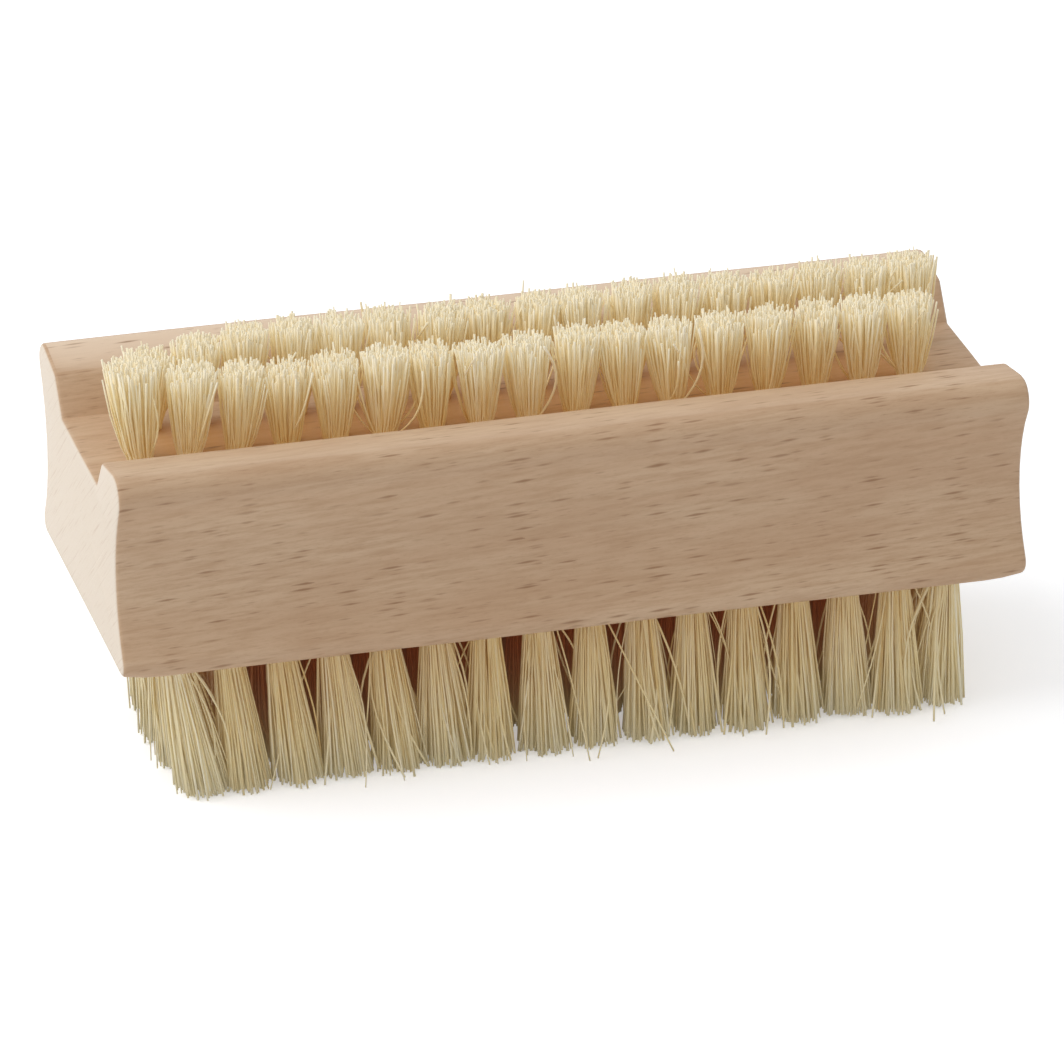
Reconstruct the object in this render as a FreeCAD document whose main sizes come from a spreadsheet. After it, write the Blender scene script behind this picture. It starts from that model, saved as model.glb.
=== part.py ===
import FreeCAD, Part
import math
import os

import Sketcher

# Double-sided nail brush: one beech block with a channel along its top, tufts of plant
# fibre in drilled holes on both sides, and a flat wire anchor across the foot of each hole.
# Millimetres. X runs along the block, the brush looks towards -Y, +Z is up. The origin is
# under the middle of the block, on the plane of the lower tips, where the brush stands.

# Driving dimensions: name, value, what it is.
DIMENSIONS = (
    ("block_length", 95.0, "block, end to end"),
    ("block_width", 39.0, "block, across the rolls along its top"),
    ("block_height", 22.0, "block, underside to wall tops"),
    ("waist_depth", 2.7, "how far each side draws in for the fingers"),
    ("waist_height", 10.5, "narrowest place, above the underside"),
    ("roll_radius", 2.2, "rounding along the top of each wall"),
    ("heel_radius", 1.5, "rounding along the lower edges"),
    ("end_chamfer", 0.6, "sanded edge round both end faces"),
    ("channel_depth", 4.6, "channel floor below the wall tops"),
    ("channel_floor_width", 17.0, "channel, across its floor"),
    ("wall_batter", 2.9, "slope of a wall's inner face, floor to mouth"),
    ("crest_land", 0.8, "level strip beside the roll on a wall's top"),
    ("wall_slope_drop", 0.9, "fall of a wall's top towards the channel"),
    ("channel_edge_radius", 0.6, "rounding of the walls' inner edges"),
    ("end_margin", 5.5, "least wood from a block end to a hole's middle"),
    ("lower_side_margin", 7.1, "outer lower rows, in from the block's side"),
    ("lower_free_length", 15.4, "lower fibres, underside to tips"),
    ("lower_hole_radius", 1.4, "lower holes"),
    ("lower_hole_depth", 6.5, "lower holes, from the underside"),
    ("lower_tip_radius", 2.4, "lower tufts at their tips"),
    ("lower_pitch", 5.44, "lower tufts, along a row"),
    ("upper_side_margin", 4.7, "upper rows, in from the channel floor's side"),
    ("upper_free_length", 8.2, "upper fibres, channel floor to tips"),
    ("upper_hole_radius", 1.3, "upper holes"),
    ("upper_hole_depth", 5.5, "upper holes, from the channel floor"),
    ("upper_tip_radius", 2.0, "upper tufts at their tips"),
    ("upper_pitch", 5.08, "upper tufts, along a row"),
    ("anchor_thickness", 0.35, "anchor wire"),
    ("anchor_height", 1.5, "anchor, along the hole"),
    ("fold_thickness", 0.6, "fibre folded under the anchor"),
    ("filling_clearance", 0.02, "tuft or anchor to the wall of its hole"),
    ("cut_overrun", 2.0, "how far cuts run past the wood"),
)

# The flats that stand for a hole's or a tuft's round, whose radii above are measured to
# the flats.
FLATS = 8

# A sketch's own numbers for the origin, the vertical axis and the points of an edge.
ORIGIN = (-1, 1)
VERTICAL_AXIS = -2
START = 1
END = 2
CENTRE = 3

doc = FreeCAD.newDocument("nail_brush")


def make_sheet():
    """The spreadsheet that every size is read from."""
    sheet = doc.addObject("Spreadsheet::Sheet", "Sizes")
    for row, (alias, value, note) in enumerate(DIMENSIONS, start=1):
        sheet.set(f"A{row}", alias)
        sheet.set(f"B{row}", str(value))
        sheet.set(f"C{row}", note)
        sheet.setAlias(f"B{row}", alias)
    doc.recompute()
    return sheet


sizes = make_sheet()

# Heights and reaches that several pieces share, as expressions of the sheet.
HALF_WIDTH = "(Sizes.block_width / 2)"
HALF_LENGTH = "(Sizes.block_length / 2)"
UNDERSIDE = "Sizes.lower_free_length"
WALL_TOP = f"({UNDERSIDE} + Sizes.block_height)"
CHANNEL_FLOOR = f"({WALL_TOP} - Sizes.channel_depth)"
CHANNEL_MOUTH = f"({WALL_TOP} - Sizes.wall_slope_drop)"
HALF_FLOOR = "(Sizes.channel_floor_width / 2)"
HALF_MOUTH = f"({HALF_FLOOR} + Sizes.wall_batter)"
HALF_CREST = f"({HALF_WIDTH} - Sizes.roll_radius - Sizes.crest_land)"
WAIST = f"({UNDERSIDE} + Sizes.waist_height)"
# The waist is one arc that meets the roll without a corner: its centre and the roll's
# centre lie the sum of the two radii apart.
WAIST_RISE = "(Sizes.block_height - Sizes.roll_radius - Sizes.waist_height)"
WAIST_RADIUS = f"(({WAIST_RISE} ^ 2 + Sizes.waist_depth ^ 2) / (2 * Sizes.waist_depth) - Sizes.roll_radius)"

# Each side's rows, half the width that they stand on, and whether they zigzag.
ROWS = {"lower": (5, HALF_WIDTH, False), "upper": (2, HALF_FLOOR, True)}


def value_of(expression):
    """The number that an expression of the sheet has now."""
    return float(sizes.evalExpression(expression))


def origin_feature(body, role):
    """A body's own origin plane or axis."""
    return next(f for f in body.Origin.OriginFeatures if f.Role == role)


def new_body(label):
    """An empty body, named after its piece, that may hold several solids."""
    body = doc.addObject("PartDesign::Body", label)
    body.Label = label
    body.AllowCompound = True
    return body


def new_sketch(body, name, plane, offset=("0", "0", "0")):
    """A sketch on one of the body's origin planes, moved by three expressions."""
    sketch = body.newObject("Sketcher::SketchObject", name)
    sketch.AttachmentSupport = [(origin_feature(body, plane), "")]
    sketch.MapMode = "FlatFace"
    for axis, expression in zip("xyz", offset):
        if expression != "0":
            sketch.setExpression(f"AttachmentOffset.Base.{axis}", expression)
    return sketch


def bind(sketch, name, expression, kind, *places):
    """Adds a named dimension to a sketch and ties it to the sheet."""
    index = sketch.addConstraint(Sketcher.Constraint(kind, *places, value_of(expression)))
    sketch.renameConstraint(index, name)
    sketch.setExpression(f"Constraints.{name}", expression)


def place(sketch, name, point, x, y):
    """Ties a point of a sketch to two expressions, measured from the origin."""
    if x == "0":
        sketch.addConstraint(Sketcher.Constraint("PointOnObject", *point, VERTICAL_AXIS))
    else:
        bind(sketch, f"{name}_x", x, "DistanceX", *ORIGIN, *point)
    bind(sketch, f"{name}_y", y, "DistanceY", *ORIGIN, *point)


def add_line(sketch, start, end):
    """A straight edge between two vectors."""
    return sketch.addGeometry(Part.LineSegment(start, end))


def add_arc(sketch, centre, radius, first, last):
    """An arc about a centre, anticlockwise from one angle to another, in radians."""
    circle = Part.Circle(centre, FreeCAD.Vector(0, 0, 1), radius)
    return sketch.addGeometry(Part.ArcOfCircle(circle, first, last))


def join(sketch, kind, *ends):
    """Joins two ends, tangent or merely coincident."""
    sketch.addConstraint(Sketcher.Constraint(kind, *ends))


def draw_half_section(sketch):
    """Right half of the moulded block: heel, waist and roll as three tangent arcs."""
    roll, heel, waist = (value_of(e) for e in ("Sizes.roll_radius", "Sizes.heel_radius", WAIST_RADIUS))
    under, top = value_of(UNDERSIDE), value_of(WALL_TOP)
    reach = value_of(HALF_WIDTH)
    roll_centre = FreeCAD.Vector(reach - roll, top - roll, 0)
    waist_centre = FreeCAD.Vector(reach - value_of("Sizes.waist_depth") + waist, value_of(WAIST), 0)
    heel_rise = waist_centre.y - under - heel
    heel_run = math.sqrt((waist + heel) ** 2 - heel_rise ** 2)
    heel_centre = FreeCAD.Vector(waist_centre.x - heel_run, under + heel, 0)

    to_roll = roll_centre - waist_centre
    roll_turn = math.atan2(to_roll.y, to_roll.x)
    heel_turn = math.atan2(-heel_rise, -heel_run)
    quarter, half, full = math.pi / 2, math.pi, 2 * math.pi
    roll_arc = add_arc(sketch, roll_centre, roll, roll_turn - half, quarter)
    waist_arc = add_arc(sketch, waist_centre, waist, roll_turn, heel_turn + full)
    heel_arc = add_arc(sketch, heel_centre, heel, -quarter, heel_turn + half)
    bottom_edge = add_line(sketch, FreeCAD.Vector(0, under, 0), FreeCAD.Vector(heel_centre.x, under, 0))
    top_edge = add_line(sketch, FreeCAD.Vector(roll_centre.x, top, 0), FreeCAD.Vector(0, top, 0))
    middle = add_line(sketch, FreeCAD.Vector(0, top, 0), FreeCAD.Vector(0, under, 0))

    join(sketch, "Tangent", bottom_edge, END, heel_arc, START)
    join(sketch, "Tangent", heel_arc, END, waist_arc, END)
    join(sketch, "Tangent", waist_arc, START, roll_arc, START)
    join(sketch, "Tangent", roll_arc, END, top_edge, START)
    join(sketch, "Coincident", top_edge, END, middle, START)
    join(sketch, "Coincident", middle, END, bottom_edge, START)
    sketch.addConstraint(Sketcher.Constraint("Horizontal", bottom_edge))
    sketch.addConstraint(Sketcher.Constraint("Horizontal", top_edge))
    place(sketch, "foot", (bottom_edge, START), "0", UNDERSIDE)
    place(sketch, "head", (top_edge, END), "0", WALL_TOP)
    bind(sketch, "roll_radius", "Sizes.roll_radius", "Radius", roll_arc)
    bind(sketch, "heel_radius", "Sizes.heel_radius", "Radius", heel_arc)
    bind(sketch, "waist_radius", WAIST_RADIUS, "Radius", waist_arc)
    bind(sketch, "roll_centre_x", f"{HALF_WIDTH} - Sizes.roll_radius", "DistanceX", *ORIGIN, roll_arc, CENTRE)
    bind(sketch, "waist_centre_y", WAIST, "DistanceY", *ORIGIN, waist_arc, CENTRE)


def draw_outline(sketch, corners):
    """A closed outline of straight edges through (name, x, y) corners."""
    points = [FreeCAD.Vector(value_of(x), value_of(y), 0) for name, x, y in corners]
    edges = [add_line(sketch, points[i - 1], points[i]) for i in range(len(points))]
    for i, (name, x, y) in enumerate(corners):
        following = edges[(i + 1) % len(edges)]
        join(sketch, "Coincident", edges[i], END, following, START)
        place(sketch, name, (edges[i], END), x, y)


def draw_round(sketch, radius):
    """A regular polygon about the sketch's origin, its flats at a radius, one square to X."""
    to_corners = f"{radius} / cos({180 / FLATS} deg)"
    reach = value_of(to_corners)
    guide = sketch.addGeometry(Part.Circle(FreeCAD.Vector(), FreeCAD.Vector(0, 0, 1), reach), True)
    join(sketch, "Coincident", guide, CENTRE, *ORIGIN)
    bind(sketch, "to_corners", to_corners, "Radius", guide)
    turns = [2 * math.pi * (step + 0.5) / FLATS for step in range(FLATS)]
    corners = [FreeCAD.Vector(reach * math.cos(turn), reach * math.sin(turn), 0) for turn in turns]
    edges = [add_line(sketch, corners[i - 1], corners[i]) for i in range(FLATS)]
    for i, edge in enumerate(edges):
        join(sketch, "Coincident", edges[i - 1], END, edge, START)
        sketch.addConstraint(Sketcher.Constraint("PointOnObject", edge, START, guide))
        if i:
            sketch.addConstraint(Sketcher.Constraint("Equal", edges[0], edge))
    sketch.addConstraint(Sketcher.Constraint("Vertical", edges[0]))


def draw_rectangle(sketch, width, length):
    """A rectangle about the sketch's origin, width along X and length along Y."""
    x, y = value_of(width) / 2, value_of(length) / 2
    corners = [FreeCAD.Vector(*xy, 0) for xy in ((-x, -y), (x, -y), (x, y), (-x, y))]
    front, right, back, left = (add_line(sketch, corners[i], corners[(i + 1) % 4]) for i in range(4))
    for edge, following in ((front, right), (right, back), (back, left), (left, front)):
        join(sketch, "Coincident", edge, END, following, START)
    for kind, edge in (("Horizontal", front), ("Horizontal", back), ("Vertical", right), ("Vertical", left)):
        sketch.addConstraint(Sketcher.Constraint(kind, edge))
    sketch.addConstraint(Sketcher.Constraint("Symmetric", front, START, back, START, *ORIGIN))
    bind(sketch, "width", width, "DistanceX", front, START, front, END)
    bind(sketch, "length", length, "DistanceY", right, START, right, END)


def extrude(body, kind, sketch, length, side="One side", reverse=False):
    """A Pad or Pocket of a sketch, as long as an expression says."""
    feature = body.newObject(f"PartDesign::{kind}", f"{sketch.Name}_{kind.lower()}")
    feature.Profile = sketch
    feature.SideType = side
    feature.Reversed = reverse
    feature.Refine = False
    feature.setExpression("Length", length)
    doc.recompute()
    return feature


def spread_sides(body, angle, reverse):
    """Drafts the upright faces of the body's only feature, outward from its own origin plane."""
    base = body.Tip
    names = [f"Face{index}" for index, face in enumerate(base.Shape.Faces, start=1)
             if near(face.normalAt(0, 0).z, 0)]
    draft = body.newObject("PartDesign::Draft", f"{base.Name}_draft")
    draft.Base = (base, names)
    draft.NeutralPlane = (origin_feature(body, "XY_Plane"), [""])
    draft.Reversed = reverse
    draft.setExpression("Angle", angle)
    doc.recompute()
    return draft


def cut_out(body, sketch, depth, side="One side", reverse=False):
    """A Pocket, with a stop if it points away from the solid and takes nothing."""
    before = body.Tip.Shape.Volume
    feature = extrude(body, "Pocket", sketch, depth, side, reverse)
    if feature.Shape.Volume >= before:
        raise RuntimeError(f"{feature.Name} cuts nothing")
    return feature


def finish_pattern(body, pattern):
    """Makes a pattern or mirror the body's last feature."""
    body.Tip = pattern
    doc.recompute()
    return pattern


def repeat_along_x(body, feature, pitch, count, whole=False):
    """Repeats a feature, or the body as built so far, along the block."""
    pattern = body.newObject("PartDesign::LinearPattern", f"{feature.Name}_row")
    pattern.Originals = [] if whole else [feature]
    pattern.TransformMode = "Whole shape" if whole else "Features"
    pattern.Direction = (origin_feature(body, "X_Axis"), [""])
    pattern.Mode = "Spacing"
    pattern.setExpression("Offset", pitch)
    pattern.Occurrences = count
    pattern.Refine = False
    return finish_pattern(body, pattern)


def ease_edges(body, kind, size, wanted):
    """Fillets or chamfers the edges of the body's last feature whose two ends pass a test."""
    base = body.Tip
    names = [f"Edge{index}" for index, edge in enumerate(base.Shape.Edges, start=1)
             if wanted(*(vertex.Point for vertex in edge.Vertexes))]
    feature = body.newObject(f"PartDesign::{kind}", f"{base.Name}_{kind.lower()}")
    feature.Base = (base, names)
    feature.setExpression({"Fillet": "Radius", "Chamfer": "Size"}[kind], size)
    doc.recompute()
    return feature


def near(a, b):
    """Whether two lengths are the same to within the modeller's tolerance."""
    return math.isclose(a, b, abs_tol=1e-6)


def rows(side):
    """Name, place and tuft count of each row on one side, front to back.

    A row has as many tufts as the block's length takes. Rows that zigzag stand a quarter of
    a pitch to the left and to the right by turns.
    """
    count, room, zigzag = ROWS[side]
    pitch = f"Sizes.{side}_pitch"
    quarter = 0.25 if zigzag else 0
    row_room = f"(Sizes.block_length - 2 * Sizes.end_margin - {2 * quarter} * {pitch})"
    tufts = math.floor(value_of(f"{row_room} / {pitch}")) + 1
    outer = f"({room} - Sizes.{side}_side_margin)"
    for index in range(count):
        shift = quarter if index % 2 else -quarter
        along = f"{shift - (tufts - 1) / 2} * {pitch}"
        across = f"{2 * index / (count - 1) - 1} * {outer}"
        yield f"{side}_row_{index + 1}", along, across, tufts


def make_block():
    """The wood: moulded sides, the channel, eased edges and the rows of holes."""
    body = new_body("block")
    outline = new_sketch(body, "block_outline", "YZ_Plane")
    draw_half_section(outline)
    extrude(body, "Pad", outline, "Sizes.block_length", side="Symmetric")
    channel = new_sketch(body, "channel_outline", "YZ_Plane")
    sky = f"{WALL_TOP} + Sizes.cut_overrun"
    draw_outline(channel, (("floor_middle", "0", CHANNEL_FLOOR),
                           ("floor", HALF_FLOOR, CHANNEL_FLOOR),
                           ("mouth", HALF_MOUTH, CHANNEL_MOUTH),
                           ("crest", HALF_CREST, WALL_TOP),
                           ("sky", HALF_CREST, sky),
                           ("sky_middle", "0", sky)))
    cut_out(body, channel, "Sizes.block_length + 2 * Sizes.cut_overrun", side="Symmetric")
    mirror = body.newObject("PartDesign::Mirrored", "other_half")
    mirror.TransformMode = "Whole shape"
    mirror.MirrorPlane = (origin_feature(body, "XZ_Plane"), [""])
    finish_pattern(body, mirror)

    half_mouth, mouth_height = value_of(HALF_MOUTH), value_of(CHANNEL_MOUTH)
    ease_edges(body, "Fillet", "Sizes.channel_edge_radius",
               lambda a, b: all(near(abs(p.y), half_mouth) and near(p.z, mouth_height) for p in (a, b)))
    half_length = value_of(HALF_LENGTH)
    ease_edges(body, "Chamfer", "Sizes.end_chamfer",
               lambda a, b: near(a.x, b.x) and near(abs(a.x), half_length))

    for side, mouth in (("lower", UNDERSIDE), ("upper", CHANNEL_FLOOR)):
        for name, along, across, tufts in rows(side):
            outline = new_sketch(body, f"{name}_hole", "XY_Plane", (along, across, mouth))
            draw_round(outline, f"Sizes.{side}_hole_radius")
            hole = cut_out(body, outline, f"Sizes.{side}_hole_depth", reverse=side == "lower")
            repeat_along_x(body, hole, f"Sizes.{side}_pitch", tufts)
    return body


def make_row(side, name, along, across, tufts):
    """One row of tufts and the anchors that hold it, as two bodies.

    Each body's own origin is at the mouth of its first hole, and the lower rows point down.
    A tuft fills its hole, spreads from the mouth to the tips and folds round its anchor.
    """
    upward = side == "upper"
    sign = "" if upward else "-"
    mouth = CHANNEL_FLOOR if upward else UNDERSIDE
    filling = f"(Sizes.{side}_hole_radius - Sizes.filling_clearance)"
    fold = f"-{sign}(Sizes.{side}_hole_depth - Sizes.fold_thickness)"
    pitch = f"Sizes.{side}_pitch"

    tuft_row = new_body(f"{name}_tufts")
    section = new_sketch(tuft_row, f"{name}_section", "XY_Plane")
    draw_round(section, filling)
    extrude(tuft_row, "Pad", section, f"Sizes.{side}_free_length", reverse=not upward)
    spread = f"atan((Sizes.{side}_tip_radius - {filling}) / Sizes.{side}_free_length)"
    spread_sides(tuft_row, spread, reverse=upward)
    extrude(tuft_row, "Pad", section, f"Sizes.{side}_hole_depth", reverse=upward)
    slot = new_sketch(tuft_row, f"{name}_slot", "XY_Plane", ("0", "0", fold))
    draw_rectangle(slot, "Sizes.anchor_thickness", f"2 * Sizes.{side}_hole_radius")
    cut = cut_out(tuft_row, slot, "Sizes.anchor_height", reverse=upward)
    repeat_along_x(tuft_row, cut, pitch, tufts, whole=True)

    anchor_row = new_body(f"{name}_anchors")
    wire = new_sketch(anchor_row, f"{name}_wire", "XY_Plane", ("0", "0", fold))
    draw_rectangle(wire, "Sizes.anchor_thickness", f"2 * {filling}")
    anchor = extrude(anchor_row, "Pad", wire, "Sizes.anchor_height", reverse=not upward)
    repeat_along_x(anchor_row, anchor, pitch, tufts)

    for body in (tuft_row, anchor_row):
        for axis, expression in zip("xyz", (along, across, mouth)):
            body.setExpression(f"Placement.Base.{axis}", expression)
    return tuft_row, anchor_row


def check(bodies):
    """Stops on a failed object or an unusable shape, before anything is written."""
    for item in doc.Objects:
        if "Invalid" in item.State or "Error" in item.State:
            raise RuntimeError(f"{item.Label}: {item.State}")
    for body in bodies:
        if body.Shape.isNull() or not body.Shape.isValid():
            raise RuntimeError(f"{body.Label}: shape is null or not valid")


pieces = [make_block()]
for brush_side in ("lower", "upper"):
    for row in rows(brush_side):
        pieces.extend(make_row(brush_side, *row))
doc.recompute()
check(pieces)
os.makedirs("parts", exist_ok=True)
for piece in pieces:
    piece.Shape.exportStep(f"parts/{piece.Label}.step")
    print(piece.Label, len(piece.Shape.Solids), round(piece.Shape.Volume, 2))
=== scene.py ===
import math
import random

import bmesh
import bpy
from mathutils import Matrix, Vector, noise


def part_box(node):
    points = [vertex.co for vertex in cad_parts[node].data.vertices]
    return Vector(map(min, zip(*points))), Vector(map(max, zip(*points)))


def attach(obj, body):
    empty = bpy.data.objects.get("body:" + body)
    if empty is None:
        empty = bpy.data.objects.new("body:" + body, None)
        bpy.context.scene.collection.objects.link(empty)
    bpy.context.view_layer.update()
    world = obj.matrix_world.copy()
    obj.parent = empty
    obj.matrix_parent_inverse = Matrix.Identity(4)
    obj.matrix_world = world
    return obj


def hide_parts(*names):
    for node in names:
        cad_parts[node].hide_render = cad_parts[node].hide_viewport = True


# Double-sided nail brush: a bare beech block with a channel along its top, and tufts of
# stiff plant fibre in drilled holes on both sides. Metres, in the frame of the CAD nodes:
# X along the block, the front towards -Y, +Z up, the lower tips on the floor.

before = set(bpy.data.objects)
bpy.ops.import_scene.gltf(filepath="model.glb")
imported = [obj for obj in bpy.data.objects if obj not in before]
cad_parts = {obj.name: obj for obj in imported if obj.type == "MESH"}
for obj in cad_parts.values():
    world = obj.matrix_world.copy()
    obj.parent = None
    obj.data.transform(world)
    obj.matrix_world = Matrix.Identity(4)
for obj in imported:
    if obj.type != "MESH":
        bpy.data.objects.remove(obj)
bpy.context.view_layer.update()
block_low, block_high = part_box("block")
under, top = block_low[2], block_high[2]
MM = 0.001

# Block, in the sizes of its CAD node.
WAIST_DEPTH = 2.7 * MM
WAIST_HEIGHT = 10.5 * MM
ROLL_RADIUS = 2.2 * MM
HEEL_RADIUS = 1.5 * MM
CHANNEL_DEPTH = 4.6 * MM
HALF_CHANNEL_FLOOR = 8.5 * MM
HALF_CHANNEL_MOUTH = 11.4 * MM
CREST_LAND = 0.8 * MM
WALL_SLOPE_DROP = 0.9 * MM
EDGE_ROUNDING = 0.45 * MM
EDGE_SEGMENTS = 4
ARC_STEP = math.radians(7)
SHARP_TURN = math.radians(38)
JOIN_DISTANCE = 0.001 * MM

# Sanding by hand: a slow waviness, the same in each run, and lower corners that lift towards
# both ends.
BLOCK_SLICES = 48
WAVE_LENGTH = 24 * MM
WAVE_HEIGHT = 0.12 * MM
WAVE_SEED = 1
CORNER_LIFT = 0.5 * MM
CORNER_LIFT_LENGTH = 4.5 * MM

# Holes and tufts of each side. Wander is how far a fibre's tip strays from its place in the
# tuft, and trim_error how far it falls short of the trim. A row's first tuft spreads more.
HOLE_FACETS = 20
SIDES = {
    "lower": {"rows": 5, "up": -1, "pitch": 5.44 * MM, "hole_radius": 1.4 * MM, "hole_depth": 6.5 * MM,
              "free_length": 15.4 * MM, "tip_radius": 2.35 * MM, "flare": 0.95, "fibres": 280,
              "wander": 0.4 * MM, "trim_error": 0.4 * MM, "stray_share": 0.05, "left_spread": 1.2},
    "upper": {"rows": 2, "up": 1, "pitch": 5.08 * MM, "hole_radius": 1.3 * MM, "hole_depth": 5.5 * MM,
              "free_length": 8.2 * MM, "tip_radius": 2.2 * MM, "flare": 0.75, "fibres": 300,
              "wander": 0.42 * MM, "trim_error": 0.9 * MM, "stray_share": 0.015, "left_spread": 1.15},
}
# How use has pushed the tips of each row, front row first. Along X, for the first tuft, the
# second, the last but one and the last, with the rest in between. Then along Y, and how far
# the tips stand proud of the trim, in the row and at its left end.
ROW_SPREADS = {
    "lower": (((1.8, 1.2, -0.2, -0.7), -1.4, 0, 0), ((1.7, 1, 0.1, -0.4), -0.7, 0, 0),
              ((2, 1, 0.2, -0.2), 0, 0, 0), ((2.8, 1.2, 0.2, -0.4), 0.3, 0, 0),
              ((3.6, 1.5, 0.1, -0.6), 0.5, 0, 0)),
    "upper": (((-0.6, 0.1, 0, -0.1), 0.1, 1, 2.6), ((-0.2, 0.3, 0.3, -0.3), 0.4, 1.9, 0.5)),
}

# A fibre is a four-sided tube. Its points lie at these shares of its free length, with the
# first at the mouth of the hole, and one more at its seat inside the hole.
FIBRE_RADIUS = 0.1 * MM
FIBRE_SIDES = 4
FIBRE_SHARES = (0, 0.2, 0.55, 1)
FIBRE_SEAT = 2.5 * MM
FIBRE_BEND = 0.14 * MM
FOOT_ERROR_SHARE = 0.3
THICKNESS_ERROR_SHARE = 0.2
TONE_ERROR = 0.14

# A stray leaves its tuft in a wider curve, and at a row's ends it curves inward.
STRAY_WANDER = 1.9 * MM
STRAY_BEND = 0.8 * MM
STRAY_STEPS = 8
STRAY_SHARES = tuple(step / STRAY_STEPS for step in range(STRAY_STEPS + 1))

# A tuft as a whole.
LEAN_ERRORS = (0.28 * MM, 0.2 * MM, 0.15 * MM)
TUFT_TONE_ERROR = 0.1
MIDDLE_TONE = 0.5
GOLDEN_TURN = math.pi * (3 - math.sqrt(5))


def arc(bm, start, centre, turn):
    """Spins a point of the section about a centre in the YZ plane and returns the last one."""
    steps = max(3, round(abs(turn) / ARC_STEP))
    spun = bmesh.ops.spin(bm, geom=[start], cent=centre, axis=(1, 0, 0), angle=turn, steps=steps,
                          use_merge=False, use_normal_flip=False, use_duplicate=False)
    return next(item for item in spun["geom_last"] if isinstance(item, bmesh.types.BMVert))


def line(bm, start, place):
    """Draws a straight edge of the section from a point and returns its other end."""
    end = bm.verts.new(place)
    bm.edges.new((start, end))
    return end


def draw_section(bm, end_x):
    """The block's half section at one end, from the underside's middle round to the channel's."""
    reach = block_high[1]
    rise = top - under - ROLL_RADIUS - WAIST_HEIGHT
    waist_radius = (rise ** 2 + WAIST_DEPTH ** 2) / (2 * WAIST_DEPTH) - ROLL_RADIUS
    roll = Vector((end_x, reach - ROLL_RADIUS, top - ROLL_RADIUS))
    waist = Vector((end_x, reach - WAIST_DEPTH + waist_radius, under + WAIST_HEIGHT))
    heel_rise = WAIST_HEIGHT - HEEL_RADIUS
    heel_run = math.sqrt((waist_radius + HEEL_RADIUS) ** 2 - heel_rise ** 2)
    heel = Vector((end_x, waist.y - heel_run, under + HEEL_RADIUS))

    heel_turn = math.atan2(-heel_rise, -heel_run) + math.pi
    roll_turn = math.atan2(roll.z - waist.z, roll.y - waist.y)
    point = line(bm, bm.verts.new((end_x, 0, under)), (end_x, heel.y, under))
    point = arc(bm, point, heel, math.pi / 2 + heel_turn)
    point = arc(bm, point, waist, roll_turn - math.pi - heel_turn)
    point = arc(bm, point, roll, 3 * math.pi / 2 - roll_turn)
    floor = top - CHANNEL_DEPTH
    point = line(bm, point, (end_x, reach - ROLL_RADIUS - CREST_LAND, top))
    point = line(bm, point, (end_x, HALF_CHANNEL_MOUTH, top - WALL_SLOPE_DROP))
    point = line(bm, point, (end_x, HALF_CHANNEL_FLOOR, floor))
    line(bm, point, (end_x, 0, floor))


def sand(place):
    """Where a point of the block ends up once it is sanded."""
    wave = noise.noise_vector(place / WAVE_LENGTH)
    moved = place + Vector((0, wave.y, wave.z)) * WAVE_HEIGHT
    from_end = block_high[0] - abs(place.x)
    if from_end < CORNER_LIFT_LENGTH:
        low_share = max(0, 1 - (place.z - under) / WAIST_HEIGHT)
        moved.z += CORNER_LIFT * low_share * (1 - from_end / CORNER_LIFT_LENGTH) ** 2
    return moved


def tuft_places(side, row):
    """Middle of each hole of a row, at the hole's mouth."""
    low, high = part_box(f"{side}_row_{row}_anchors")
    pitch = SIDES[side]["pitch"]
    count = round((high[0] - low[0]) / pitch) + 1
    middle_x, middle_y = (low[0] + high[0]) / 2, (low[1] + high[1]) / 2
    mouth = under if side == "lower" else top - CHANNEL_DEPTH
    return [Vector((middle_x + (i - (count - 1) / 2) * pitch, middle_y, mouth)) for i in range(count)]


def drill_bits():
    """One mesh object with a closed cylinder for each hole."""
    bm = bmesh.new()
    for side, sizes in SIDES.items():
        for row in range(1, sizes["rows"] + 1):
            for place in tuft_places(side, row):
                bmesh.ops.create_cone(bm, cap_ends=True, segments=HOLE_FACETS, radius1=sizes["hole_radius"],
                                      radius2=sizes["hole_radius"], depth=2 * sizes["hole_depth"],
                                      matrix=Matrix.Translation(place))
    mesh = bpy.data.meshes.new("drill_bits")
    bm.to_mesh(mesh)
    bm.free()
    bits = bpy.data.objects.new("drill_bits", mesh)
    bpy.context.scene.collection.objects.link(bits)
    return bits


def mark_sharp(mesh):
    """Shades a mesh smooth but for its sharp edges."""
    bm = bmesh.new()
    bm.from_mesh(mesh)
    for face in bm.faces:
        face.smooth = True
    for edge in bm.edges:
        if len(edge.link_faces) == 2:
            edge.smooth = edge.calc_face_angle(0) < SHARP_TURN
    bm.to_mesh(mesh)
    bm.free()


def run_of(edge):
    """How far an edge runs along the block."""
    return abs(edge.verts[0].co.x - edge.verts[1].co.x)


def at_mouth(place):
    """Whether a point lies where the channel's wall turns into the crest."""
    off_side = abs(abs(place.y) - HALF_CHANNEL_MOUTH)
    off_height = abs(place.z - top + WALL_SLOPE_DROP)
    return max(off_side, off_height) < 10 * JOIN_DISTANCE


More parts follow.
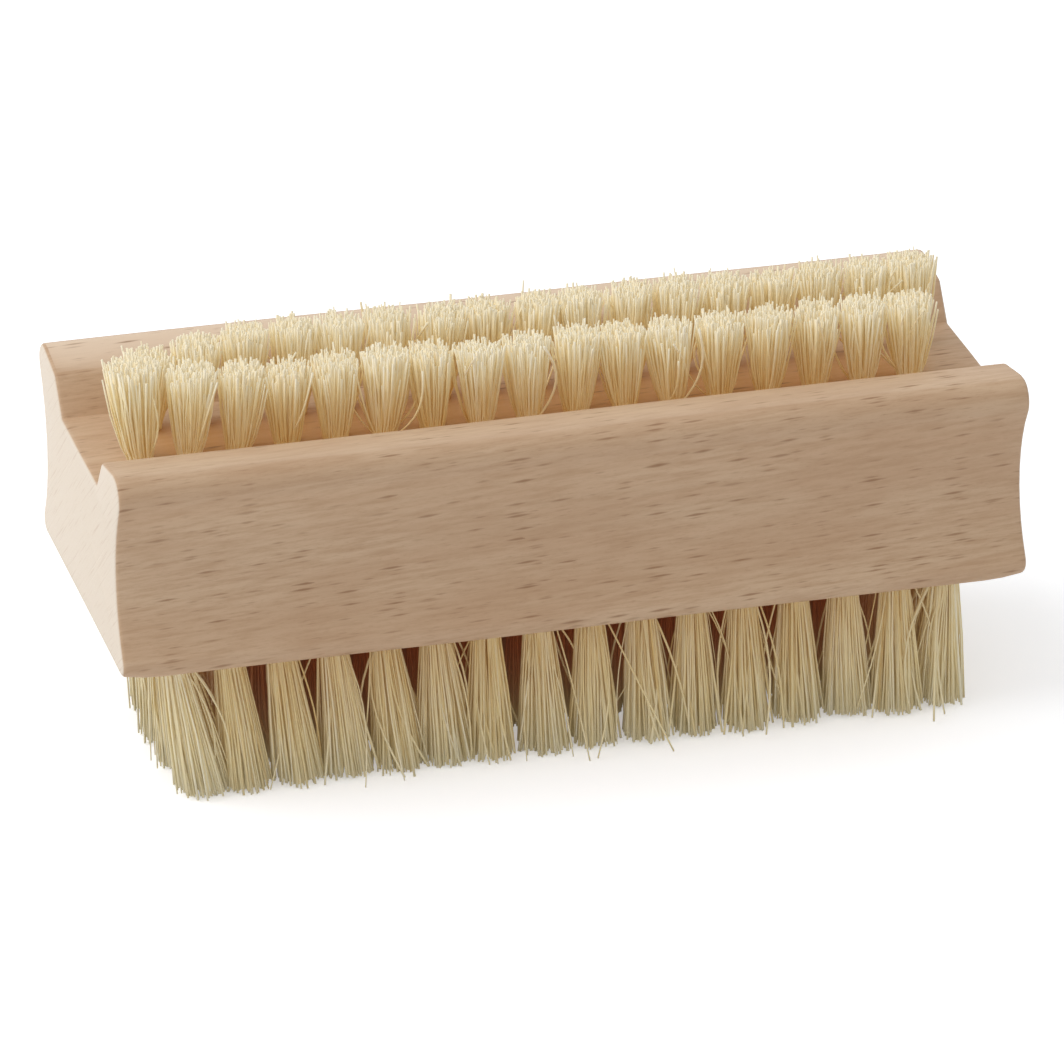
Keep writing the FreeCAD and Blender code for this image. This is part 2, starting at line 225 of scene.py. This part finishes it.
def make_block(finish):
    """The wood, with its channel, rounded ends and real holes."""
    length = block_high[0] - block_low[0]
    bm = bmesh.new()
    draw_section(bm, block_low[0])
    bmesh.ops.mirror(bm, geom=bm.verts[:] + bm.edges[:], axis="Y", merge_dist=JOIN_DISTANCE)
    bmesh.ops.remove_doubles(bm, verts=bm.verts, dist=JOIN_DISTANCE)
    cap = bmesh.ops.contextual_create(bm, geom=bm.edges[:])["faces"]
    grown = bmesh.ops.extrude_face_region(bm, geom=cap, use_keep_orig=True)["geom"]
    far_end = [item for item in grown if isinstance(item, bmesh.types.BMVert)]
    bmesh.ops.translate(bm, verts=far_end, vec=(length, 0, 0))
    bmesh.ops.recalc_face_normals(bm, faces=bm.faces)

    end_edges = [edge for edge in bm.edges if run_of(edge) < length / 2]
    mouth_edges = [edge for edge in bm.edges if run_of(edge) > length / 2 and at_mouth(edge.verts[0].co)]
    bmesh.ops.bevel(bm, geom=end_edges + mouth_edges, offset=EDGE_ROUNDING, offset_type="OFFSET",
                    affect="EDGES", segments=EDGE_SEGMENTS, profile=0.5, material=-1)
    long_edges = [edge for edge in bm.edges if run_of(edge) > length / 2]
    bmesh.ops.subdivide_edges(bm, edges=long_edges, cuts=BLOCK_SLICES)
    noise.seed_set(WAVE_SEED)
    for vert in bm.verts:
        vert.co = sand(vert.co)
    mesh = bpy.data.meshes.new("beech_block")
    bm.to_mesh(mesh)
    bm.free()

    block = bpy.data.objects.new("beech_block", mesh)
    bpy.context.scene.collection.objects.link(block)
    bits = drill_bits()
    drilling = block.modifiers.new("drilling", "BOOLEAN")
    drilling.object = bits
    drilling.operation = "DIFFERENCE"
    drilling.solver = "MANIFOLD"
    bpy.context.view_layer.update()
    evaluated = block.evaluated_get(bpy.context.evaluated_depsgraph_get())
    drilled = bpy.data.meshes.new_from_object(evaluated)
    block.modifiers.remove(drilling)
    block.data = drilled
    block.data.name = "beech_block"
    bpy.data.objects.remove(bits)
    mark_sharp(drilled)
    block.data.materials.clear()
    block.data.materials.append(finish)
    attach(block, "root")
    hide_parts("block")


def fibre_path(rng, sizes, place, packed, spread, lean, inward):
    """Points of one fibre, each after its share of the free length, from its seat to its cut tip."""
    stray = rng.random() < sizes["stray_share"]
    foot = packed * (sizes["hole_radius"] - FIBRE_RADIUS)
    foot_error = FOOT_ERROR_SHARE * FIBRE_RADIUS
    foot += Vector((rng.uniform(-foot_error, foot_error), rng.uniform(-foot_error, foot_error), 0))
    wander = STRAY_WANDER if stray else sizes["wander"]
    drift = Vector((rng.gauss(0, wander), rng.gauss(0, wander), 0))
    bow = STRAY_BEND if stray else FIBRE_BEND
    bend = Vector((rng.gauss(0, bow), rng.gauss(0, bow), 0))
    if stray and inward:
        drift.x = inward * abs(drift.x)
        bend.x = inward * abs(bend.x)
    tip = packed * sizes["tip_radius"] * spread + drift + lean
    length = sizes["free_length"] + lean.z - abs(rng.gauss(0, sizes["trim_error"]))
    points = [(0, place + foot - Vector((0, 0, sizes["up"] * FIBRE_SEAT)))]
    for share in STRAY_SHARES if stray else FIBRE_SHARES:
        point = foot.lerp(tip, share ** sizes["flare"]) + bend * math.sin(math.pi * share)
        point.z = sizes["up"] * length * share
        points.append((share, place + point))
    return points


def cap_tips(mesh):
    """Closes the tubes' ends with flat cuts and shades their sides smooth."""
    bm = bmesh.new()
    bm.from_mesh(mesh)
    for face in bm.faces:
        face.smooth = True
    bmesh.ops.holes_fill(bm, edges=[edge for edge in bm.edges if edge.is_boundary], sides=FIBRE_SIDES)
    bm.to_mesh(mesh)
    bm.free()


def row_lean(side, row, index, count):
    """How far a tuft's tips are pushed along X and Y and stand proud of the trim."""
    (first, second, last_but_one, last), along_y, proud, left_proud = ROW_SPREADS[side][row - 1]
    share = (index - 1) / (count - 3)
    along_x = {0: first, count - 1: last}.get(index, second + (last_but_one - second) * share)
    height = proud + (left_proud - proud) * max(0, 1 - index / 2)
    return Vector((along_x, along_y, height)) * MM


def make_tufts(side, row, finish):
    """One row's tufts, fibre by fibre, as one piece."""
    sizes = SIDES[side]
    name = f"{side}_row_{row}"
    rng = random.Random(name)
    places = tuft_places(side, row)
    curve = bpy.data.curves.new(f"{name}_fibres", "CURVE")
    curve.dimensions = "3D"
    curve.bevel_depth = FIBRE_RADIUS
    curve.bevel_resolution = 0
    tones = []
    alongs = []
    for index, place in enumerate(places):
        lean = row_lean(side, row, index, len(places))
        error = [rng.gauss(0, size) for size in LEAN_ERRORS]
        lean += Vector((error[0], error[1], -abs(error[2])))
        spread = sizes["left_spread"] if index == 0 else 1
        inward = {0: 1, len(places) - 1: -1}.get(index, 0)
        tuft_tone = MIDDLE_TONE + rng.uniform(-TUFT_TONE_ERROR, TUFT_TONE_ERROR)
        tuft_turn = rng.uniform(0, math.pi)
        for fibre in range(sizes["fibres"]):
            out = math.sqrt((fibre + 0.5) / sizes["fibres"])
            turn = fibre * GOLDEN_TURN + tuft_turn
            packed = Vector((out * math.cos(turn), out * math.sin(turn), 0))
            path = fibre_path(rng, sizes, place, packed, spread, lean, inward)
            spline = curve.splines.new("POLY")
            spline.points.add(len(path) - 1)
            thickness = 1 + rng.gauss(0, THICKNESS_ERROR_SHARE)
            for point, (share, where) in zip(spline.points, path):
                point.co = (*where, 1)
                point.radius = thickness
                alongs.extend([share] * FIBRE_SIDES)
            tone = min(1, max(0, tuft_tone + rng.gauss(0, TONE_ERROR)))
            tones.extend([tone] * (len(path) * FIBRE_SIDES))
    drawn = bpy.data.objects.new(name, curve)
    mesh = bpy.data.meshes.new_from_object(drawn)
    bpy.data.objects.remove(drawn)
    for attribute, values in (("tone", tones), ("along", alongs)):
        layer = mesh.attributes.new(attribute, "FLOAT", "POINT")
        layer.data.foreach_set("value", values)
    cap_tips(mesh)
    mesh.materials.clear()
    mesh.materials.append(finish)
    tufts = bpy.data.objects.new(f"{name}_fibres", mesh)
    bpy.context.scene.collection.objects.link(tufts)
    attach(tufts, "root")
    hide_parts(f"{name}_tufts")


class Number:
    """A value that varies over a surface. Sums on it add Math nodes to its finish."""

    def __init__(self, finish, socket):
        self.finish = finish
        self.socket = socket

    def __add__(self, other):
        return self.finish.maths("ADD", self, other)

    def __sub__(self, other):
        return self.finish.maths("SUBTRACT", self, other)

    def __rsub__(self, other):
        return self.finish.maths("SUBTRACT", other, self)

    def __mul__(self, other):
        return self.finish.maths("MULTIPLY", self, other)

    def __pow__(self, other):
        return self.finish.maths("POWER", self, other)

    __radd__ = __add__
    __rmul__ = __mul__


class Finish:
    """The nodes of a material or of the world."""

    def __init__(self, owner):
        owner.use_nodes = True
        self.owner = owner
        self.tree = owner.node_tree
        self.tree.nodes.clear()

    def node(self, kind, settings=(), inputs=(), output=0):
        """Adds a node, its settings first and then its sockets, and returns one of its outputs."""
        node = self.tree.nodes.new(f"ShaderNode{kind}")
        for name, value in dict(settings).items():
            if name == "stops":
                self.set_stops(node.color_ramp, value)
            else:
                setattr(node, name, value)
        for name, value in dict(inputs).items():
            if isinstance(value, Number):
                self.tree.links.new(value.socket, node.inputs[name])
            else:
                node.inputs[name].default_value = value
        return Number(self, node.outputs[output])

    def set_stops(self, ramp, stops):
        """Gives a ramp its (place, colour) stops."""
        while len(ramp.elements) < len(stops):
            ramp.elements.new(1)
        for element, (place, colour) in zip(ramp.elements, stops):
            element.position = place
            element.color = colour

    def maths(self, operation, *values):
        """A Math node on numbers, fixed or varying."""
        return self.node("Math", {"operation": operation}, dict(enumerate(values)))

    def step(self, value, start, end):
        """Rises smoothly from 0 to 1 as a value goes from start to end."""
        return self.node("MapRange", {"interpolation_type": "SMOOTHSTEP"},
                         {"Value": value, "From Min": start, "From Max": end})

    def mix(self, share, first, second):
        """Mixes two colours."""
        return self.node("Mix", {"data_type": "RGBA"}, {0: share, 6: first, 7: second}, 2)

    def coordinates(self):
        """The piece's own coordinates, in metres."""
        return self.node("TexCoord", output="Object")

    def part(self, vector, axis):
        """One of the three parts of a vector."""
        return self.node("SeparateXYZ", {}, {"Vector": vector}, axis)

    def off_middle(self, vector, axis):
        """How far a vector reaches along an axis, either way."""
        return self.maths("ABSOLUTE", self.part(vector, axis))

    def turned(self, place, rotation):
        """Coordinates turned about the axes."""
        return self.node("Mapping", {}, {"Vector": place, "Rotation": rotation})

    def stretched(self, place, cell):
        """Coordinates in which a cell of the given sizes measures 1 each way."""
        return self.node("Mapping", {}, {"Vector": place, "Scale": tuple(1 / size for size in cell)})

    def noise(self, place, cell, detail=3, roughness=0.5):
        """Smooth noise about 0.5, in cells of the given sizes."""
        return self.node("TexNoise", {}, {"Vector": self.stretched(place, cell), "Scale": 1,
                                          "Detail": detail, "Roughness": roughness})

    def bump(self, height, depth, strength):
        """A normal for a relief."""
        return self.node("Bump", {}, {"Height": height, "Distance": depth, "Strength": strength})

    def surface(self, **sockets):
        """Ends a material in a Principled shader with the given sockets."""
        named = {name.replace("_", " "): value for name, value in sockets.items()}
        self.end_in(self.node("BsdfPrincipled", {}, named, "BSDF"))

    def end_in(self, shader):
        """Joins a shader to the material's or the world's output."""
        kind = "World" if isinstance(self.owner, bpy.types.World) else "Material"
        output = self.tree.nodes.new(f"ShaderNodeOutput{kind}")
        self.tree.links.new(shader.socket, output.inputs["Surface"])


def rgb(red, green, blue):
    """A colour from its sRGB parts out of 255, as the linear numbers that Blender takes."""
    parts = (part / 255 for part in (red, green, blue))
    return tuple(p / 12.92 if p <= 0.04045 else ((p + 0.055) / 1.055) ** 2.4 for p in parts) + (1,)


# Wood. Which way the rays run across the block, and how far the grain climbs along it.
RAY_SLOPE = math.radians(37.5)
GRAIN_SLOPE = math.radians(2.5)
# Sizes of a cell of each of its patterns along the grain, across it and up it.
CLOUD_CELL = (22 * MM, 40 * MM, 4 * MM)
RING_CELL = (60 * MM, 1.6 * MM, 12 * MM)
STREAK_CELL = (5 * MM, 3 * MM, 0.35 * MM)
PORE_CELL = (0.8 * MM, 0.12 * MM, 0.12 * MM)
LONG_FLECK_CELL = (4.6 * MM, 40 * MM, 0.4 * MM)
SHORT_FLECK_CELL = (3 * MM, 40 * MM, 0.3 * MM)
RAY_CELL = (6 * MM, 7 * MM, 0.22 * MM)
FLECK_EXPONENT = 1.4
WOOD_RELIEF = 0.04 * MM
# The painted highlight on the crests' level tops starts this far below the highest point. The
# channel's floor takes a painted warm bounce light from the fibres between these distances from the ends,
# and turns plain again between these off the middle.
CREST_FALL = 2 * MM
BOUNCE_FROM_END = (4 * MM, 10 * MM)
BOUNCE_ACROSS = (3 * MM, 6 * MM)
FLOOR_FADE = 1 * MM
BEECH = {
    "deep": rgb(197, 163, 130), "pale": rgb(209, 179, 147), "ring": rgb(200, 163, 130),
    "streak": rgb(184, 148, 114), "pore": rgb(164, 124, 90), "fleck": rgb(142, 102, 66),
    "crest": rgb(236, 212, 186), "painted_bounce": rgb(208, 152, 84),
    "end": rgb(234, 219, 200), "end_ray": rgb(200, 172, 146), "end_pore": rgb(206, 180, 152),
}


def ray_flecks(finish, place, cell, share):
    """Lens-shaped marks, one in each cell, on a share of the cells."""
    settings = {"distance": "MINKOWSKI"}
    sockets = {"Vector": finish.stretched(place, cell), "Scale": 1, "Exponent": FLECK_EXPONENT}
    distance = finish.node("TexVoronoi", settings, sockets, "Distance")
    own = finish.part(finish.node("TexVoronoi", settings, sockets, "Color"), "X")
    return (1 - finish.step(distance, 0.1, 0.42)) * finish.step(own, 1 - share, 1 - share * 0.3)


def beech():
    """Bare sanded beech: grain along X, rays across it, dark ray flecks where they come out.

    The level tops of the crests carry a painted highlight, towards the back most, and the channel's
    floor among the tufts carries a painted warm bounce light from the fibres.
    """
    finish = Finish(bpy.data.materials.new("bare_beech"))
    straight = finish.coordinates()
    normal = finish.node("NewGeometry", output="Normal")
    place = finish.turned(straight, (RAY_SLOPE, GRAIN_SLOPE, 0))
    cloud = finish.noise(place, CLOUD_CELL)
    ring = finish.noise(place, RING_CELL, 2)
    streak = finish.noise(place, STREAK_CELL, 4, 0.6)
    pores = finish.noise(place, PORE_CELL, 2, 0.6)
    open_pores = finish.step(pores, 0.5, 0.8)
    marks = finish.maths("MAXIMUM", ray_flecks(finish, place, LONG_FLECK_CELL, 0.42),
                         ray_flecks(finish, place, SHORT_FLECK_CELL, 0.4) * 0.6)

    ground = finish.mix(finish.step(cloud, 0.3, 0.7), BEECH["deep"], BEECH["pale"])
    ground = finish.mix(finish.step(ring, 0.35, 0.7) * 0.3, ground, BEECH["ring"])
    ground = finish.mix(finish.step(streak, 0.35, 0.75) * 0.7, ground, BEECH["streak"])
    ground = finish.mix(open_pores * 0.3, ground, BEECH["pore"])

    level = finish.step(finish.part(normal, "Z"), 0.96, 1)
    height = finish.part(straight, "Z")
    back = finish.step(finish.part(straight, "Y"), block_low[1], block_high[1])
    # Painted highlight on the crests' level tops, strongest towards the back.
    crests = level * finish.step(height, top - CREST_FALL, top - CREST_FALL / 2)
    ground = finish.mix(crests * (back * 0.7 + 0.15), ground, BEECH["crest"])
    # Painted warm bounce light from the fibres on the channel's floor among the tufts, fading out towards
    # the ends and off the middle.
    from_end = block_high[0] - finish.off_middle(straight, "X")
    painted_among = finish.step(from_end, *BOUNCE_FROM_END)
    painted_among *= 1 - finish.step(finish.off_middle(straight, "Y"), *BOUNCE_ACROSS)
    low = 1 - finish.step(height, top - CHANNEL_DEPTH, top - CHANNEL_DEPTH + FLOOR_FADE)
    ground = finish.mix(level * low * painted_among * 0.6, ground, BEECH["painted_bounce"])
    side = finish.mix(marks * 0.75, ground, BEECH["fleck"])

    rays = finish.step(finish.noise(place, RAY_CELL), 0.55, 0.75)
    # The ends are written paler than the side grain: partly their own colour, partly painted light for the
    # strong light that falls on the ends.
    end = finish.mix(rays * 0.4, BEECH["end"], BEECH["end_ray"])
    end = finish.mix(open_pores * 0.35, end, BEECH["end_pore"])
    end_grain = finish.step(finish.off_middle(normal, "X"), 0.6, 0.95)

    relief = streak * 0.5 + pores * 0.4 - marks * 0.5
    finish.surface(Base_Color=finish.mix(end_grain, side, end),
                   Roughness=finish.step(streak, 0, 1) * 0.15 + 0.5,
                   Normal=finish.bump(relief, WOOD_RELIEF, 0.6))
    return finish.owner


# Fibre. Its own colours from dark to pale, the cell of its mottling and the depth of its relief.
FIBRE_STOPS = ((0, rgb(232, 205, 144)), (0.3, rgb(243, 227, 177)),
               (0.65, rgb(249, 239, 203)), (1, rgb(253, 249, 228)))
FIBRE_CELL = (0.4 * MM, 0.4 * MM, 1.6 * MM)
FIBRE_RELIEF = 0.03 * MM
TIP_COLOUR = rgb(255, 247, 233)
# Colour of the painted glow towards the tips.
TIP_PAINTED_GLOW = rgb(255, 232, 180)
# The painted shade on the feet fades towards both ends of a row, where light gets in.
FEET_FROM_END = (5 * MM, 20 * MM)
# How far the feet take their painted shade and bounce colour and how high it reaches, how pale the
# tips get, and a painted glow standing in for the little light that fibres pass on to each other, in its
# colour deep in a tuft.
FIBRES = {
    "outer_fibre": {"foot": rgb(226, 186, 108), "foot_shade": 0.5, "reach": 1, "tip_paling": 0.1,
                    "deep": rgb(255, 170, 80), "painted_glow": 0.03},
    # Inner rows: a shaded copy, with darker, redder painted shade reaching higher up the fibres.
    "shaded_inner_fibre": {"foot": rgb(194, 96, 30), "foot_shade": 0.97, "reach": 3, "tip_paling": 0.1,
                    "deep": rgb(255, 100, 20), "painted_glow": 0.02},
    "upper_fibre": {"foot": rgb(232, 196, 112), "foot_shade": 0.5, "reach": 1, "tip_paling": 0.5,
                    "deep": rgb(206, 138, 56), "painted_glow": 0.082},
}


def plant_fibre(name, foot, foot_shade, reach, tip_paling, deep, painted_glow):
    """Stiff undyed fibre, cream to straw, with painted shade and warm bounce colour towards its foot and a
    faint painted glow.
    """
    finish = Finish(bpy.data.materials.new(name))
    tone = finish.node("Attribute", {"attribute_name": "tone"}, output="Fac")
    along = finish.node("Attribute", {"attribute_name": "along"}, output="Fac")
    place = finish.coordinates()
    mottle = finish.noise(place, FIBRE_CELL)
    own = finish.node("ValToRGB", {"stops": FIBRE_STOPS}, {"Fac": tone + (mottle - 0.5) * 0.5}, "Color")
    own = finish.mix(along ** 4 * tip_paling, own, TIP_COLOUR)
    from_end = block_high[0] - finish.off_middle(place, "X")
    painted_among = finish.step(from_end, *FEET_FROM_END)
    # Painted shade and bounce colour on the feet, less towards the row's ends.
    colour = finish.mix((1 - along ** reach) * foot_shade * painted_among, own, foot)
    # A faint painted glow (emission) stands in for light passed between fibres, in the deep colour at the
    # feet and the tip colour at the tips.
    finish.surface(Base_Color=colour, Roughness=0.5 + mottle * 0.2,
                   Normal=finish.bump(mottle, FIBRE_RELIEF, 0.5),
                   Emission_Color=finish.mix(along, deep, TIP_PAINTED_GLOW), Emission_Strength=painted_glow)
    return finish.owner


# Anchor wire.
SCRATCH_CELL = (0.1 * MM, 2 * MM, 0.05 * MM)
WIRE_RELIEF = 0.01 * MM


def anchor_wire():
    """Flat drawn wire, bright with fine scratches along it."""
    finish = Finish(bpy.data.materials.new("anchor_wire"))
    scratches = finish.noise(finish.coordinates(), SCRATCH_CELL)
    colour = finish.mix(scratches, rgb(170, 172, 176), rgb(214, 214, 214))
    finish.surface(Base_Color=colour, Metallic=1, Roughness=scratches * 0.2 + 0.25,
                   Normal=finish.bump(scratches, WIRE_RELIEF, 0.4))
    return finish.owner


def dress_anchors(finish):
    """Gives the anchors' CAD nodes their finish."""
    for name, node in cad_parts.items():
        if name.endswith("_anchors"):
            for material_slot in node.material_slots:
                material_slot.link = "OBJECT"
                material_slot.material = finish


# Camera of the photograph: its direction, roll and distance, and where it aims.
PHOTO_AZIMUTH = math.radians(-14.63)
PHOTO_ELEVATION = math.radians(24.46)
PHOTO_ROLL = math.radians(-0.33)
PHOTO_DISTANCE = 876 * MM
PHOTO_AIM = Vector((0, 0, 26.4 * MM))
PHOTO_AIM_RIGHT = 0.06 * MM
PHOTO_AIM_UP = -7.55 * MM
PHOTO_SENSOR = 36
PHOTO_LENS_SHARE = 8502 / 1064
NEAREST_SEEN = 10 * MM
FARTHEST_SEEN = 10


def place_camera():
    """The camera at the photograph's viewing angle."""
    back = Vector((math.sin(PHOTO_AZIMUTH) * math.cos(PHOTO_ELEVATION),
                   -math.cos(PHOTO_AZIMUTH) * math.cos(PHOTO_ELEVATION), math.sin(PHOTO_ELEVATION)))
    right = Vector((0, 0, 1)).cross(back).normalized()
    up = back.cross(right)
    right, up = (right * math.cos(PHOTO_ROLL) + up * math.sin(PHOTO_ROLL),
                 up * math.cos(PHOTO_ROLL) - right * math.sin(PHOTO_ROLL))
    aim = PHOTO_AIM + right * PHOTO_AIM_RIGHT + up * PHOTO_AIM_UP
    data = bpy.data.cameras.new("photograph")
    data.sensor_width = PHOTO_SENSOR
    data.lens = PHOTO_SENSOR * PHOTO_LENS_SHARE
    data.clip_start = NEAREST_SEEN
    data.clip_end = FARTHEST_SEEN
    camera = bpy.data.objects.new("photograph", data)
    turn = Matrix((right, up, back)).transposed().to_4x4()
    camera.matrix_world = Matrix.Translation(aim + back * PHOTO_DISTANCE) @ turn
    bpy.context.scene.collection.objects.link(camera)
    bpy.context.scene.camera = camera


# Room and lamp, in metres. A strength reads as a colour would.
SKY_STRENGTH = 0.56
FLOOR_REACH = 3
FLOOR_COLOUR = (0.95, 0.97, 1, 1)
FLOOR_LIFT = 0.4
WHITE = (1, 1, 1, 1)
KEY_DIRECTION = Vector((-0.6, 0.1, 0.78))
KEY_DISTANCE = 1.2
KEY_SIZE = 1.1
KEY_STRENGTH = 0.52


def seen_directly(finish):
    """1 where the camera sees a surface itself, in a reflection or through something clear."""
    camera, glossy, clear = (finish.node("LightPath", output=name)
                             for name in ("Is Camera Ray", "Is Glossy Ray", "Is Transmission Ray"))
    return finish.maths("MAXIMUM", finish.maths("MAXIMUM", camera, glossy), clear)


def light_room():
    """A white room: even light all round and a floor that keeps the brush's soft shadow."""
    world = bpy.data.worlds.new("white_room")
    bpy.context.scene.world = world
    sky = Finish(world)
    seen = seen_directly(sky)
    strength = seen + (1 - seen) * SKY_STRENGTH
    sky.end_in(sky.node("Background", {}, {"Color": WHITE, "Strength": strength}))

    bm = bmesh.new()
    bmesh.ops.create_grid(bm, x_segments=1, y_segments=1, size=FLOOR_REACH)
    mesh = bpy.data.meshes.new("floor")
    bm.to_mesh(mesh)
    bm.free()
    floor = bpy.data.objects.new("floor", mesh)
    bpy.context.scene.collection.objects.link(floor)
    paper = Finish(bpy.data.materials.new("white_paper"))
    matt = paper.node("BsdfDiffuse", {}, {"Color": FLOOR_COLOUR})
    lift = paper.node("Emission", {}, {"Color": WHITE, "Strength": seen_directly(paper) * FLOOR_LIFT})
    paper.end_in(paper.node("AddShader", {}, {0: matt, 1: lift}))
    mesh.materials.append(paper.owner)


def hang_key_lamp():
    """A soft square lamp, up to the left of the brush and aimed at it."""
    data = bpy.data.lights.new("key", "AREA")
    data.size = KEY_SIZE
    data.energy = KEY_STRENGTH * math.pi * math.pi * KEY_DISTANCE ** 2
    lamp = bpy.data.objects.new("key", data)
    towards = KEY_DIRECTION.normalized()
    turn = towards.to_track_quat("Z", "Y").to_matrix().to_4x4()
    lamp.matrix_world = Matrix.Translation(PHOTO_AIM + towards * KEY_DISTANCE) @ turn
    bpy.context.scene.collection.objects.link(lamp)


bpy.context.scene.view_settings.view_transform = "Standard"
make_block(beech())
finishes = {name: plant_fibre(name, **parts) for name, parts in FIBRES.items()}
for row_number in range(1, SIDES["lower"]["rows"] + 1):
    # Inner rows take the copy of the fibre with the deeper painted shade.
    outer_row = row_number in (1, SIDES["lower"]["rows"])
    make_tufts("lower", row_number, finishes["outer_fibre" if outer_row else "shaded_inner_fibre"])
for row_number in range(1, SIDES["upper"]["rows"] + 1):
    make_tufts("upper", row_number, finishes["upper_fibre"])
dress_anchors(anchor_wire())
place_camera()
light_room()
hang_key_lamp()
